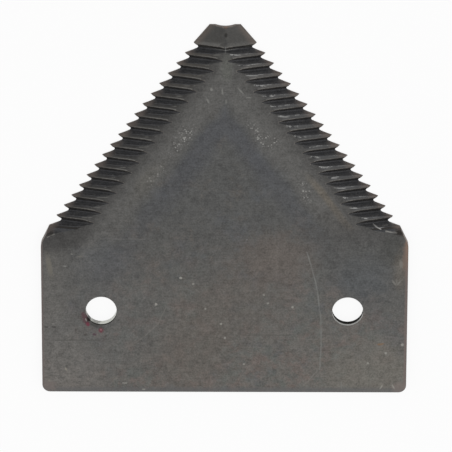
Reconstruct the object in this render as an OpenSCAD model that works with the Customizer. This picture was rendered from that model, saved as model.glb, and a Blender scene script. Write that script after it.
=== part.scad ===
// Mower sickle section: a flat steel knife with a serrated, bevelled edge on both sides.
// The origin is midway between the two holes, on the underside.
// X runs across the knife, Y runs towards its tip and Z points up out of the serrated face.
// All lengths are in millimetres and all angles in degrees.

/* [Plate] */
// Thickness of the steel
thickness = 2; // [1.8:0.1:3]
// Width across the two straight sides
width = 75.4; // [68:0.1:84]
// Distance from the hole line to the base edge
base_drop = 18.6; // [14:0.1:24]
// Distance from the hole line to the end of the tip
tip_rise = 63.5; // [58:0.1:72]
// Radius of the two base corners
corner_radius = 1.6; // [0.5:0.1:4]

/* [Tip] */
// Width of the blunt end
tip_width = 6.3; // [5:0.1:8]
// Width of the shallow hollow in the blunt end
hollow_width = 3.9; // [2:0.1:4.5]
// Depth of the shallow hollow
hollow_depth = 0.35; // [0.1:0.05:0.6]
// Length of the plain edge between the end and the first tooth, measured along Y
head_length = 3.95; // [3:0.05:6]
// Sideways run of that plain edge
head_spread = 3.2; // [2.5:0.05:4]

/* [Holes] */
// Diameter of the two rivet holes
hole_diameter = 6.4; // [4.5:0.1:8]
// Distance between the hole centres
hole_spacing = 50.8; // [40:0.1:56]

/* [Teeth] */
// Number of grooves along each edge
tooth_count = 18; // [14:1:20]
// Outward bulge at the middle of the row of teeth
edge_bow = 0.6; // [0:0.05:1]
// Slope of the tooth side that faces the base, seen from above
tooth_base_angle = 41; // [34:1:46]
// Slope of the tooth side that faces the tip, seen from above
tooth_tip_angle = 22; // [18:1:26]
// Radius of the valley between two teeth
valley_radius = 0.4; // [0.2:0.05:0.5]

/* [Shoulder] */
// Distance from the hole line to the last tooth tip
shoulder_rise = 18.75; // [15:0.1:24]
// Distance from the last tooth tip in to the line of the straight side
shoulder_inset = 1.75; // [1.2:0.05:3]
// Distance along Y from the last tooth tip to where the shoulder meets the side
shoulder_drop = 3.75; // [3:0.1:6]
// Radius between the shoulder and the side
shoulder_radius = 2.6; // [1:0.1:8]
// Distance along Y from the last tooth tip to the foot of the wall that ends the bevel
bevel_end = 0.3; // [0.1:0.05:0.6]

/* [Bevel] */
// Height of the square edge left under the bevel
edge_land = 0.55; // [0.35:0.05:0.8]
// Slope of the bevel, square to the edge
bevel_angle = 17.5; // [15:0.5:20]

/* [Grooves] */
// Distance along Y from a tooth tip to the root of the groove below it
root_drop = 1.15; // [1:0.01:1.3]
// Height of the groove root where it leaves the valley
root_land = 0.1; // [0.04:0.02:0.2]
// Distance along X from the valley to where the root runs out on the flat face
groove_run = 6.8; // [6:0.1:8.5]
// Radius of the groove root
root_radius = 0.3; // [0.1:0.05:0.35]
// Slope of the groove side that faces the base
wall_angle = 38; // [34:1:46]
// Slope of the groove side that faces the tip
flank_angle = 54; // [46:1:60]

/* [Hidden] */
steel_colour = [0.36, 0.36, 0.37];
// Straight pieces used for one rounded corner, valley or groove root
arc_steps = 6;
// Sides of a hole's circle
hole_sides = 96;
// Extra length that carries a cut clear of the steel
clear = 3;
// Extra length of the bevel cut at both ends of the edge
overrun = 12;

half_width = width / 2;
tip_half = tip_width / 2;
first_tip = [tip_half + head_spread, tip_rise - head_length];
last_tip = [half_width - shoulder_inset, shoulder_rise];
tip_corner = [tip_half, tip_rise];
shoulder_end = [half_width, shoulder_rise - shoulder_drop];
base_corner = [half_width, -base_drop];
hollow_radius = (pow(hollow_width / 2, 2) + pow(hollow_depth, 2)) / (2 * hollow_depth);
root_angle = atan((thickness - root_land) / groove_run);
groove_height = thickness + 2 * clear;
// Depth of the bevel's room, enough to stay below the slope all the way to the far edge
room_depth = width / 3;

function unit(v) = v / norm(v);
function flip(p) = [-p[0], p[1]];

// Points of an arc that rounds the corner between two straight lines
function rounded(before, corner, after, radius) =
    let (
        back = unit(before - corner),
        on = unit(after - corner),
        half = acos(back * on) / 2,
        centre = corner + unit(back + on) * radius / sin(half),
        start = corner + back * radius / tan(half) - centre,
        turn = cross(back, on) > 0 ? -1 : 1,
        sweep = turn * (180 - 2 * half)
    )
    [for (k = [0 : arc_steps])
        let (a = sweep * k / arc_steps)
        centre + [start[0] * cos(a) - start[1] * sin(a), start[0] * sin(a) + start[1] * cos(a)]];

// Tooth tips, counted from the head down to the shoulder
function tooth_tip(i) =
    let (u = i / tooth_count)
    first_tip + (last_tip - first_tip) * u + [4 * edge_bow * u * (1 - u), 0];

// Point where the two sides of the valley below a tooth would meet if it were not rounded
function valley_point(i) =
    let (
        upper = tooth_tip(i),
        lower = tooth_tip(i + 1),
        fall = upper[1] - lower[1],
        out = lower[0] - upper[0],
        inward = (fall - out * tan(tooth_tip_angle)) / (tan(tooth_base_angle) + tan(tooth_tip_angle))
    )
    upper - [inward, inward * tan(tooth_base_angle)];

function valley(i) = rounded(tooth_tip(i), valley_point(i), tooth_tip(i + 1), valley_radius);

// How far inward the deepest point of a valley lies
function valley_floor(i) = min([for (p = valley(i)) p[0]]);

// Right half of the outline, from the tip down to the base
right_half = concat(
    [tip_corner],
    [for (i = [0 : tooth_count - 1]) each concat([tooth_tip(i)], valley(i))],
    [last_tip],
    rounded(last_tip, shoulder_end, base_corner, shoulder_radius),
    rounded(shoulder_end, base_corner, flip(base_corner), corner_radius)
);
point_count = len(right_half);
left_half = [for (i = [1 : point_count]) flip(right_half[point_count - i])];

// Hollow in the blunt end, from the left to the right
hollow_reach = asin(hollow_width / 2 / hollow_radius);
hollow_centre = [0, tip_rise - hollow_depth + hollow_radius];
hollow = [for (k = [-arc_steps : arc_steps])
    let (a = hollow_reach * k / arc_steps)
    hollow_centre + hollow_radius * [sin(a), -cos(a)]];

module blank() {
    linear_extrude(height = thickness)
        polygon(concat(right_half, left_half, hollow));
}

module hole(x) {
    translate([x, 0, -clear])
        cylinder(d = hole_diameter, h = thickness + 2 * clear, $fn = hole_sides);
}

// Places a cut that runs along X and climbs inward at the slope of the groove roots
module along_groove(at, height, outward, inward) {
    translate([at[0], at[1], height])
        rotate([0, root_angle, 0])
            rotate([90, 0, -90])
                translate([0, 0, -outward])
                    linear_extrude(height = outward + inward)
                        children();
}

// Cross-section of a groove: its root is at the origin and the base lies on the positive side
module groove_section() {
    wall_top = (groove_height - root_radius * (1 - cos(wall_angle))) / tan(wall_angle);
    flank_top = (groove_height - root_radius * (1 - cos(flank_angle))) / tan(flank_angle);
    root = [for (k = [0 : arc_steps])
        let (a = -wall_angle + (wall_angle + flank_angle) * k / arc_steps)
        root_radius * [sin(a), 1 - cos(a)]];
    polygon(concat(
        [[-root_radius * sin(wall_angle) - wall_top, groove_height]],
        root,
        [[root_radius * sin(flank_angle) + flank_top, groove_height]]
    ));
}

module groove(i) {
    along_groove([valley_floor(i), tooth_tip(i)[1] - root_drop], root_land, 2 * clear, groove_run + clear)
        groove_section();
}

// Slope along the whole edge, from the blunt end to the shoulder
module bevel_slope() {
    edge = tip_corner - last_tip;
    edge_turn = atan2(edge[1], edge[0]) + 90;
    over = thickness + clear;
    translate([last_tip[0], last_tip[1], 0])
        rotate([90, 0, edge_turn])
            translate([0, 0, -overrun])
                linear_extrude(height = norm(edge) + 2 * overrun)
                    polygon([
                        [-clear, edge_land - clear * tan(bevel_angle)],
                        [(over - edge_land) / tan(bevel_angle), over],
                        [-clear, over]
                    ]);
}

// Room for the bevel, closed by a wall that rises to the flat face below the last tooth
module bevel_room() {
    along_groove(last_tip - [0, bevel_end], edge_land, 2 * clear, width)
        polygon([
            [-width, -room_depth],
            [-room_depth / tan(flank_angle), -room_depth],
            [groove_height / tan(flank_angle), groove_height],
            [-width, groove_height]
        ]);
}

module bevel() {
    intersection() {
        bevel_slope();
        bevel_room();
    }
}

module edge_cuts() {
    bevel();
    for (i = [0 : tooth_count - 1])
        groove(i);
}

module sickle_section() {
    color(steel_colour)
        difference() {
            blank();
            hole(-hole_spacing / 2);
            hole(hole_spacing / 2);
            edge_cuts();
            mirror([1, 0, 0])
                edge_cuts();
        }
}

sickle_section();
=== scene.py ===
# %% [markdown]
# A mower sickle section.
# This is one knife of a mowing bar: a flat steel plate of about 75 by 82 mm, 2 mm thick, with two
# rivet holes near its straight base and a row of teeth down each slanted side.
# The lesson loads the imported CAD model, copies its plate, softens the edges that the press and the
# grinding wheel left, and then gives the steel the finish of a blade that has lain on a shelf.
# The size of the plate comes from the CAD model, and nothing here changes it.

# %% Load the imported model
import math
import bmesh
import bpy
from mathutils import Matrix, Vector


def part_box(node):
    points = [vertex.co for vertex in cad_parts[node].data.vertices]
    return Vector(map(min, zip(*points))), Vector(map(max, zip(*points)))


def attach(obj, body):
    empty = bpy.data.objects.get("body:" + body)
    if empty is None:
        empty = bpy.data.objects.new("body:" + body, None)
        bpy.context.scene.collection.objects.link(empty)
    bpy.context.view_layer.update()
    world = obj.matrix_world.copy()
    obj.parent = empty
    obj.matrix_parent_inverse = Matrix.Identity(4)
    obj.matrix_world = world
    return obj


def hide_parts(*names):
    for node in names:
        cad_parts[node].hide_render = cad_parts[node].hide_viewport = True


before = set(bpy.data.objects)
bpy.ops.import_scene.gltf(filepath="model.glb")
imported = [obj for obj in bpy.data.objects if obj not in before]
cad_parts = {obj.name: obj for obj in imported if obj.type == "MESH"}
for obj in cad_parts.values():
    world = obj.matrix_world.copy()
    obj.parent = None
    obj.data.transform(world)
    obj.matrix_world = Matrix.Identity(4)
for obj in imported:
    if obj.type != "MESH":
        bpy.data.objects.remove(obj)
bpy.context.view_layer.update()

MM = 0.001
plate_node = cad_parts["sickle_section"]
plate_low, plate_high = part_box("sickle_section")

# %% [markdown]
# The camera.
# The blade was photographed from its tip side, looking steeply down from a long way off, so there is
# hardly any perspective. Such a view could be found by hand, but it was fitted to the outline of the
# plate instead: the distance and the lens below put the plate's edges where the picture has them.
# The camera is turned so that the tip points up in the picture.

# %% Place the camera
CAMERA_ELEVATION = math.radians(65.0)
CAMERA_ROLL = 0.0028052
CAMERA_DISTANCE = 1206.68 * MM
CAMERA_TARGET = Vector((0.2686, 18.4756, 0.0)) * MM
FOCAL_LENGTH_PIXELS = 5884.49
PICTURE_WIDTH_PIXELS = 452
SENSOR_WIDTH = 36.0
NEAREST_SEEN = 0.01
FARTHEST_SEEN = 50.0


def camera_matrix(target, distance, elevation, roll):
    """Where a camera stands that looks at the target from the tip side of the blade."""
    back = Vector((0.0, math.cos(elevation), math.sin(elevation)))
    level_right = Vector((1.0, 0.0, 0.0))
    level_up = back.cross(level_right)
    right = level_right * math.cos(roll) + level_up * math.sin(roll)
    up = level_up * math.cos(roll) - level_right * math.sin(roll)
    place = target + back * distance
    columns = [right.to_4d(), up.to_4d(), back.to_4d(), place.to_4d()]
    matrix = Matrix(columns).transposed()
    matrix[3] = (0.0, 0.0, 0.0, 1.0)
    return matrix


camera_data = bpy.data.cameras.new("photo_camera")
camera_data.sensor_width = SENSOR_WIDTH
camera_data.lens = FOCAL_LENGTH_PIXELS / PICTURE_WIDTH_PIXELS * SENSOR_WIDTH
camera_data.clip_start = NEAREST_SEEN
camera_data.clip_end = FARTHEST_SEEN
camera = bpy.data.objects.new("photo_camera", camera_data)
camera.matrix_world = camera_matrix(CAMERA_TARGET, CAMERA_DISTANCE, CAMERA_ELEVATION, CAMERA_ROLL)
bpy.context.scene.collection.objects.link(camera)
bpy.context.scene.camera = camera
bpy.context.scene.view_settings.view_transform = "Standard"
print("camera lens", round(camera_data.lens, 1), "mm at", round(CAMERA_DISTANCE, 3), "m")

# %% [markdown]
# Colours and nodes.
# A shader takes a colour as amounts of light, but an eye judges the colour on a screen. The amounts
# could be typed in, but they are hard to picture, so every colour here is written as a screen shows
# it, from 0 to 255, and one helper turns it into light. Nodes can be wired one by one in the editor;
# a few more helpers do the same in one line each, and a plain number may stand where a wire could.

# %% Colours are written as they look on a screen
SCREEN_LEVELS = 255.0
DARK_LIMIT = 0.04045
DARK_SLOPE = 12.92
LIGHT_OFFSET = 0.055
LIGHT_POWER = 2.4


def screen_colour(red, green, blue):
    """The colour that a screen shows as these values, in the numbers that a shader takes."""
    linear = []
    for value in (red, green, blue):
        share = value / SCREEN_LEVELS
        if share <= DARK_LIMIT:
            linear.append(share / DARK_SLOPE)
        else:
            linear.append(((share + LIGHT_OFFSET) / (1.0 + LIGHT_OFFSET)) ** LIGHT_POWER)
    return (linear[0], linear[1], linear[2], 1.0)


def grey(value):
    """A grey of this screen value."""
    return screen_colour(value, value, value)


print("screen grey 128 is", round(grey(128)[0], 3), "of full light")

# %% Helpers that add a node and feed its sockets
def add_node(tree, kind, **settings):
    """A new node of this kind, with its settings."""
    node = tree.nodes.new(kind)
    for name, value in settings.items():
        setattr(node, name, value)
    return node


def feed(tree, value, socket):
    """Links an output to a socket, or sets the socket to a plain value."""
    if isinstance(value, bpy.types.NodeSocket):
        tree.links.new(value, socket)
    else:
        socket.default_value = value


print("nodes can be added and fed")

# %% Helpers for arithmetic, blends and ramps
MIX_SHARE = 0
MIX_UNDER = 6
MIX_OVER = 7
MIX_RESULT = 2


def calculate(tree, operation, first, second=0.0, clamp=False):
    """One step of arithmetic on two values."""
    node = add_node(tree, "ShaderNodeMath", operation=operation, use_clamp=clamp)
    feed(tree, first, node.inputs[0])
    feed(tree, second, node.inputs[1])
    return node.outputs[0]


def blend_colour(tree, share, under, over):
    """The under colour where the share is 0 and the over colour where it is 1."""
    node = add_node(tree, "ShaderNodeMix", data_type="RGBA")
    feed(tree, share, node.inputs[MIX_SHARE])
    feed(tree, under, node.inputs[MIX_UNDER])
    feed(tree, over, node.inputs[MIX_OVER])
    return node.outputs[MIX_RESULT]


def ramp(tree, value, low, high, out_low=0.0, out_high=1.0, smooth=True):
    """Runs from out_low to out_high while the value goes from low to high."""
    node = add_node(tree, "ShaderNodeMapRange")
    if smooth:
        node.interpolation_type = "SMOOTHSTEP"
    feed(tree, value, node.inputs["Value"])
    feed(tree, low, node.inputs["From Min"])
    feed(tree, high, node.inputs["From Max"])
    feed(tree, out_low, node.inputs["To Min"])
    feed(tree, out_high, node.inputs["To Max"])
    return node.outputs["Result"]


print("values can be worked out in nodes")

# %% [markdown]
# The white sheet.
# The blade lies on white paper that stays white right up to its edge. Enough light would do that too,
# but it would wash out the dark steel. So the paper is nine parts plain white to a camera ray, to a
# mirrored ray and to a ray through glass, and one part real paper that takes light and shadow.
# Its back is clear, so that the plate can also be looked at from below.

# %% Make the paper
PAPER_SHARE = 0.9
PAPER_GREY = 248
PLAIN_WHITE = 255
PLAIN_STRENGTH = 1.0


def white_sheet_material():
    """Paper that is plain white where it is seen and still keeps a faint shadow."""
    material = bpy.data.materials.new("white_sheet")
    material.use_nodes = True
    tree = material.node_tree
    tree.nodes.clear()
    rays = add_node(tree, "ShaderNodeLightPath")
    sides = add_node(tree, "ShaderNodeNewGeometry")
    lit = add_node(tree, "ShaderNodeBsdfDiffuse")
    lit.inputs["Color"].default_value = grey(PAPER_GREY)
    plain = add_node(tree, "ShaderNodeEmission")
    plain.inputs["Color"].default_value = grey(PLAIN_WHITE)
    plain.inputs["Strength"].default_value = PLAIN_STRENGTH
    clear = add_node(tree, "ShaderNodeBsdfTransparent")
    seen = calculate(tree, "MAXIMUM", rays.outputs["Is Camera Ray"], rays.outputs["Is Glossy Ray"])
    seen = calculate(tree, "MAXIMUM", seen, rays.outputs["Is Transmission Ray"])
    share = calculate(tree, "MULTIPLY", seen, PAPER_SHARE)
    front = add_node(tree, "ShaderNodeMixShader")
    feed(tree, share, front.inputs[0])
    tree.links.new(lit.outputs[0], front.inputs[1])
    tree.links.new(plain.outputs[0], front.inputs[2])
    both_sides = add_node(tree, "ShaderNodeMixShader")
    feed(tree, sides.outputs["Backfacing"], both_sides.inputs[0])
    tree.links.new(front.outputs[0], both_sides.inputs[1])
    tree.links.new(clear.outputs[0], both_sides.inputs[2])
    out = add_node(tree, "ShaderNodeOutputMaterial")
    tree.links.new(both_sides.outputs[0], out.inputs["Surface"])
    return material


paper = white_sheet_material()
print("paper", len(paper.node_tree.nodes), "nodes")

# %% Lay the sheet under the plate
SHEET_HALF_SIDE = 1.5
SHEET_DROP = 0.05 * MM

sheet_mesh = bpy.data.meshes.new("white_sheet")
sheet_shape = bmesh.new()
bmesh.ops.create_grid(sheet_shape, x_segments=1, y_segments=1, size=SHEET_HALF_SIDE)
bmesh.ops.translate(sheet_shape, verts=sheet_shape.verts, vec=(0.0, 0.0, plate_low[2] - SHEET_DROP))
sheet_shape.to_mesh(sheet_mesh)
sheet_shape.free()
sheet_mesh.materials.append(paper)
sheet = bpy.data.objects.new("white_sheet", sheet_mesh)
bpy.context.scene.collection.objects.link(sheet)
print("white sheet", 2 * SHEET_HALF_SIDE, "m wide")

# %% [markdown]
# The light.
# The photo has the even light of a light tent, a little stronger from above and from the right of the
# base. One lamp alone would give hard shadows in the grooves, so most of the light comes from a sky
# that fades towards the horizon, and one wide, weak lamp gives the teeth their lit and dark sides.

# %% Light from all round
ZENITH_LIGHT = 0.85
HORIZON_LIGHT = 0.4
ZENITH_HEIGHT = 0.9

world = bpy.data.worlds.new("soft_room")
world.use_nodes = True
sky = world.node_tree
sky.nodes.clear()
sky_way = add_node(sky, "ShaderNodeTexCoord")
sky_parts = add_node(sky, "ShaderNodeSeparateXYZ")
sky.links.new(sky_way.outputs["Generated"], sky_parts.inputs[0])
sky_level = ramp(sky, sky_parts.outputs["Z"], 0.0, ZENITH_HEIGHT, HORIZON_LIGHT, ZENITH_LIGHT)
sky_background = add_node(sky, "ShaderNodeBackground")
sky.links.new(sky_level, sky_background.inputs["Color"])
sky_out = add_node(sky, "ShaderNodeOutputWorld")
sky.links.new(sky_background.outputs[0], sky_out.inputs["Surface"])
bpy.context.scene.world = world
print("sky from", HORIZON_LIGHT, "at the horizon to", ZENITH_LIGHT, "overhead")

# %% One wide, weak lamp
LAMP_DIRECTION = Vector((0.34, -0.34, 0.88))
LAMP_DISTANCE = 1.6
LAMP_WIDTH = 1.0
LAMP_POWER = 2.5

lamp_data = bpy.data.lights.new("soft_lamp", "AREA")
lamp_data.shape = "DISK"
lamp_data.size = LAMP_WIDTH
lamp_data.energy = LAMP_POWER
lamp = bpy.data.objects.new("soft_lamp", lamp_data)
lamp.location = CAMERA_TARGET + LAMP_DIRECTION.normalized() * LAMP_DISTANCE
lamp.rotation_mode = "QUATERNION"
lamp.rotation_quaternion = LAMP_DIRECTION.to_track_quat("Z", "Y")
bpy.context.scene.collection.objects.link(lamp)
print("lamp", LAMP_POWER, "W over the right side of the base")

# %% [markdown]
# The plate.
# The real blade is punched from strip, so its sides are sheared; then a wheel grinds a slanted strip
# down each side and a cutter makes the grooves between the teeth. All of that form is in the CAD
# model already. Its mesh is loose triangles and stays as it is, so a copy is merged into one skin,
# and triangles that lie in one plane are joined, which leaves clean edges to round.

# %% Copy the plate and join its flat faces
MERGE_DISTANCE = 0.02 * MM
FLAT_ANGLE = math.radians(1.0)

plate_shape = bmesh.new()
plate_shape.from_mesh(plate_node.data)
bmesh.ops.remove_doubles(plate_shape, verts=plate_shape.verts, dist=MERGE_DISTANCE)
bmesh.ops.dissolve_limit(
    plate_shape,
    angle_limit=FLAT_ANGLE,
    verts=plate_shape.verts,
    edges=plate_shape.edges,
)
plate_shape.normal_update()
print("plate copy", len(plate_shape.faces), "faces")

# %% [markdown]
# Tool marks.
# A rolled face, a ground strip, a groove and a sheared side all look different on the same steel.
# They could be separate materials, but then every border would be a hard line. Instead each face
# carries a mark, a number that the one material reads as a mask. Which tool left a face is told from
# the way it looks: up, sideways, along the ground slope, or towards the tip or the base.

# %% Say which tool left each face
STRIP_FACING = Vector((0.24, 0.18, 0.954)).normalized()
STRIP_LIKENESS = 0.998
SIDE_STEEPNESS = 0.2
TOP_STEEPNESS = 0.99
FLANK_FACING = 0.6
WALL_FACING = -0.3


def tool_mark(face):
    """The name of the tool mark on a face, told from the way the face looks."""
    facing = face.normal
    if abs(facing.z) < SIDE_STEEPNESS:
        return "sheared_side"
    if facing.z > TOP_STEEPNESS or facing.z < 0.0:
        return "rolled_face"
    mirrored = Vector((abs(facing.x), facing.y, facing.z))
    if mirrored.dot(STRIP_FACING) > STRIP_LIKENESS:
        return "ground_strip"
    if facing.y > FLANK_FACING:
        return "groove_flank"
    if facing.y < WALL_FACING:
        return "groove_wall"
    return "groove_root"


MARKS = ("ground_strip", "groove_flank", "groove_wall", "groove_root", "sheared_side", "worn_edge")
mark_layers = {name: plate_shape.faces.layers.float.new(name) for name in MARKS}
mark_counts = {}
for face in plate_shape.faces:
    mark = tool_mark(face)
    mark_counts[mark] = mark_counts.get(mark, 0) + 1
    if mark in mark_layers:
        face[mark_layers[mark]] = 1.0
    face.smooth = mark in ("sheared_side", "groove_root")
print("tool marks", mark_counts)

# %% [markdown]
# Soft inner borders.
# The wheel runs out of the ground strip gently, so no crisp line shows where it meets the flat face.
# Smooth shading alone would smear the light over the whole face. A wide bevel of four steps along
# just those borders gives the slow turn of the real surface and keeps the flat face flat.

# %% Blend the ground strips into the flat face
BLEND_WIDTH = 0.9 * MM
BLEND_STEPS = 4


def is_strip_border(edge):
    """True for the edge where a ground strip leaves the flat upper face."""
    marks = {tool_mark(face) for face in edge.link_faces}
    return marks == {"ground_strip", "rolled_face"}


strip_borders = [edge for edge in plate_shape.edges if is_strip_border(edge)]
blended = bmesh.ops.bevel(
    plate_shape,
    geom=strip_borders,
    offset=BLEND_WIDTH,
    offset_type="OFFSET",
    segments=BLEND_STEPS,
    profile=0.5,
    affect="EDGES",
    clamp_overlap=True,
    material=-1,
)
for face in blended["faces"]:
    face[mark_layers["ground_strip"]] = 1.0
    face.smooth = True
print("blended", len(strip_borders), "borders into", len(blended["faces"]), "faces")

# %% [markdown]
# Outer edges.
# No edge of a used blade is perfectly sharp, and it is the tiny round that catches the light. A Bevel
# modifier would round the hollow edges too, so the edges are picked here by the way they fold, and
# one bevel of under a tenth of a millimetre rounds them. The new faces are marked as worn, apart
# from those that look towards the tip on the teeth, where the groove's dark skin covers the round.

# %% Pick the edges that stand out
SHARP_ANGLE = math.radians(20.0)


def is_outer_edge(edge):
    """True for an edge that stands out, apart from upright corners and the ridge of the head."""
    if not edge.is_manifold:
        return False
    if edge.calc_face_angle_signed() < SHARP_ANGLE:
        return False
    marks = {tool_mark(face) for face in edge.link_faces}
    return marks not in ({"sheared_side"}, {"ground_strip"})


outer_edges = [edge for edge in plate_shape.edges if is_outer_edge(edge)]
print("outer edges", len(outer_edges))

# %% Round them and mark the wear
EDGE_ROUND = 0.09 * MM
EDGE_STEPS = 2
HEAD_START = 58.4
FLANK_ROUND_FACING = 0.25

rounded = bmesh.ops.bevel(
    plate_shape,
    geom=outer_edges,
    offset=EDGE_ROUND,
    offset_type="OFFSET",
    segments=EDGE_STEPS,
    profile=0.5,
    affect="EDGES",
    clamp_overlap=False,
    material=-1,
)
for face in rounded["faces"]:
    face.normal_update()
    face.smooth = True
    on_teeth = face.calc_center_median().y < HEAD_START * MM and face.normal.z > SIDE_STEEPNESS
    if on_teeth and face.normal.y > FLANK_ROUND_FACING:
        face[mark_layers["ground_strip"]] = 0.0
        face[mark_layers["groove_flank"]] = 1.0
    else:
        face[mark_layers["worn_edge"]] = 1.0
print("rounded", len(outer_edges), "edges into", len(rounded["faces"]), "faces")

# %% [markdown]
# A clean skin.
# At the sharp tooth tips two rounds run into each other, which pushes a few corners a hair below the
# flat underside and leaves faces with no area. A smaller round would avoid that and would no longer
# catch the light, so the corners are put back and the slivers dissolved. Gentle folds are then shaded
# smooth and sharper ones stay crisp.

# %% Clean up after the rounding
CLEAN_DISTANCE = 0.0001 * MM
CREASE_ANGLE = math.radians(40.0)

faces_before = len(plate_shape.faces)
for vert in plate_shape.verts:
    vert.co.z = max(vert.co.z, plate_low[2])
bmesh.ops.dissolve_degenerate(plate_shape, edges=plate_shape.edges, dist=CLEAN_DISTANCE)
plate_shape.normal_update()
for edge in plate_shape.edges:
    edge.smooth = edge.is_manifold and edge.calc_face_angle() < CREASE_ANGLE
print("cleaned away", faces_before - len(plate_shape.faces), "slivers")

# %% [markdown]
# A ruler across each tooth.
# On the real teeth the strips and the flanks of the grooves change shade from their base side to
# their tip side. A gradient over the whole plate can't follow so many small faces, so each face gets
# its own ruler: every corner stores how far it lies from the base side, 0, to the tip side, 1.

# %% Measure each tooth face from its base side to its tip side
MARKED = 0.5
SMALLEST_SPAN = 0.0001 * MM

across_tooth = plate_shape.loops.layers.float.new("across_tooth")
measured = 0
for face in plate_shape.faces:
    if face[mark_layers["worn_edge"]] > MARKED:
        continue
    if face[mark_layers["ground_strip"]] + face[mark_layers["groove_flank"]] < MARKED:
        continue
    lowest = min(vert.co.y for vert in face.verts)
    highest = max(vert.co.y for vert in face.verts)
    span = max(highest - lowest, SMALLEST_SPAN)
    for corner in face.loops:
        corner[across_tooth] = (corner.vert.co.y - lowest) / span
    measured = measured + 1
print("measured", measured, "tooth faces")

# %% [markdown]
# One piece.
# The blade is a single piece of steel with nothing fastened to it, so the finished skin becomes one
# object. It sits at the origin, with its place in its mesh, so that patterns measured on the object
# stay put. It rides on the only body there is and stands in for the CAD plate.

# %% Make the plate an object
plate_mesh = bpy.data.meshes.new("plate")
plate_shape.to_mesh(plate_mesh)
plate_shape.free()
plate = bpy.data.objects.new("plate", plate_mesh)
bpy.context.scene.collection.objects.link(plate)
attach(plate, "root")
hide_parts("sickle_section")
print("plate", len(plate_mesh.polygons), "faces")

# %% [markdown]
# Shared effects for the steel.
# A worn plate carries the same few kinds of mark again and again: soft stains, thin scratches, bright
# specks and the streaks that rolling left. Each kind is built once as a node group and then placed
# with its own values, which is shorter than wiring every mark by hand and easier to change.
# All of them measure in millimetres on the plate, so a mark sits where a ruler would find it.

# %% Helpers that start a node group and place it
NUMBER = "NodeSocketFloat"
VECTOR = "NodeSocketVector"


def start_group(name, inputs, outputs):
    """A new node group, with its entry sockets and its exit sockets."""
    group = bpy.data.node_groups.new(name, "ShaderNodeTree")
    for label, kind in inputs:
        group.interface.new_socket(label, in_out="INPUT", socket_type=kind)
    for label, kind in outputs:
        group.interface.new_socket(label, in_out="OUTPUT", socket_type=kind)
    entry = add_node(group, "NodeGroupInput")
    leave = add_node(group, "NodeGroupOutput")
    return group, entry.outputs, leave.inputs


def place_group(tree, group, output, label="", **values):
    """Places a group under a label, sets its sockets by name and gives back one output."""
    node = add_node(tree, "ShaderNodeGroup", node_tree=group, label=label)
    for socket, value in values.items():
        feed(tree, value, node.inputs[socket.replace("_", " ").capitalize()])
    return node.outputs[output]


def vector_step(tree, operation, first, second=None, output="Vector"):
    """One step of vector arithmetic."""
    node = add_node(tree, "ShaderNodeVectorMath", operation=operation)
    feed(tree, first, node.inputs[0])
    if second is not None:
        feed(tree, second, node.inputs[1])
    return node.outputs[output]


print("groups can be started and placed")

# %% [markdown]
# Soft stain.
# Oil, damp and fingers leave patches with no clear border. A gradient texture gives a round patch
# only, so this group measures along two axes of an oval of its own, which can be long, short or
# turned, and then adds noise to the distance so that the border is ragged.

# %% Soft stain: a turned oval with a ragged border
stain, given, result = start_group(
    "soft_stain",
    [
        ("Point", VECTOR),
        ("Centre", VECTOR),
        ("First axis", VECTOR),
        ("Second axis", VECTOR),
        ("Soft", NUMBER),
        ("Ragged", NUMBER),
    ],
    [("Mask", NUMBER)],
)
from_centre = vector_step(stain, "SUBTRACT", given["Point"], given["Centre"])
first = vector_step(stain, "DOT_PRODUCT", from_centre, given["First axis"], output="Value")
second = vector_step(stain, "DOT_PRODUCT", from_centre, given["Second axis"], output="Value")
first_square = calculate(stain, "POWER", first, 2.0)
second_square = calculate(stain, "POWER", second, 2.0)
reach = calculate(stain, "ADD", first_square, second_square)
reach = calculate(stain, "SQRT", reach)
reach = calculate(stain, "ADD", reach, given["Ragged"])
inner = calculate(stain, "SUBTRACT", 1.0, given["Soft"])
outer = calculate(stain, "ADD", 1.0, given["Soft"])
feed(stain, ramp(stain, reach, inner, outer, 1.0, 0.0), result["Mask"])
print("group", stain.name, len(stain.nodes), "nodes")

# %% [markdown]
# Straight scratch.
# A scratch is a line with two ends that fades to its sides. It could be a thin strip of mesh, but a
# scratch has no thickness worth modelling. The group finds the nearest point on the line between
# the two ends and fades with the distance from it, so the ends come out round.

# %% Scratch: a straight thin line from start to end
scratch, given, result = start_group(
    "thin_scratch",
    [("Point", VECTOR), ("Start", VECTOR), ("End", VECTOR), ("Width", NUMBER)],
    [("Mask", NUMBER)],
)
along = vector_step(scratch, "SUBTRACT", given["End"], given["Start"])
to_point = vector_step(scratch, "SUBTRACT", given["Point"], given["Start"])
covered = vector_step(scratch, "DOT_PRODUCT", to_point, along, output="Value")
whole = vector_step(scratch, "DOT_PRODUCT", along, along, output="Value")
share = calculate(scratch, "DIVIDE", covered, whole, clamp=True)
nearest = add_node(scratch, "ShaderNodeVectorMath", operation="SCALE")
feed(scratch, along, nearest.inputs[0])
feed(scratch, share, nearest.inputs["Scale"])
gap = vector_step(scratch, "DISTANCE", to_point, nearest.outputs["Vector"], output="Value")
feed(scratch, ramp(scratch, gap, 0.0, given["Width"], 1.0, 0.0), result["Mask"])
print("group", scratch.name, len(scratch.nodes), "nodes")

# %% [markdown]
# Curved scratch.
# The longest scratch swings in an arc, as when the blade is turned against something hard. A chain of
# straight scratches would show its corners, so this group draws a thin ring and keeps only the part
# of it between two heights on the plate.

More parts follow.
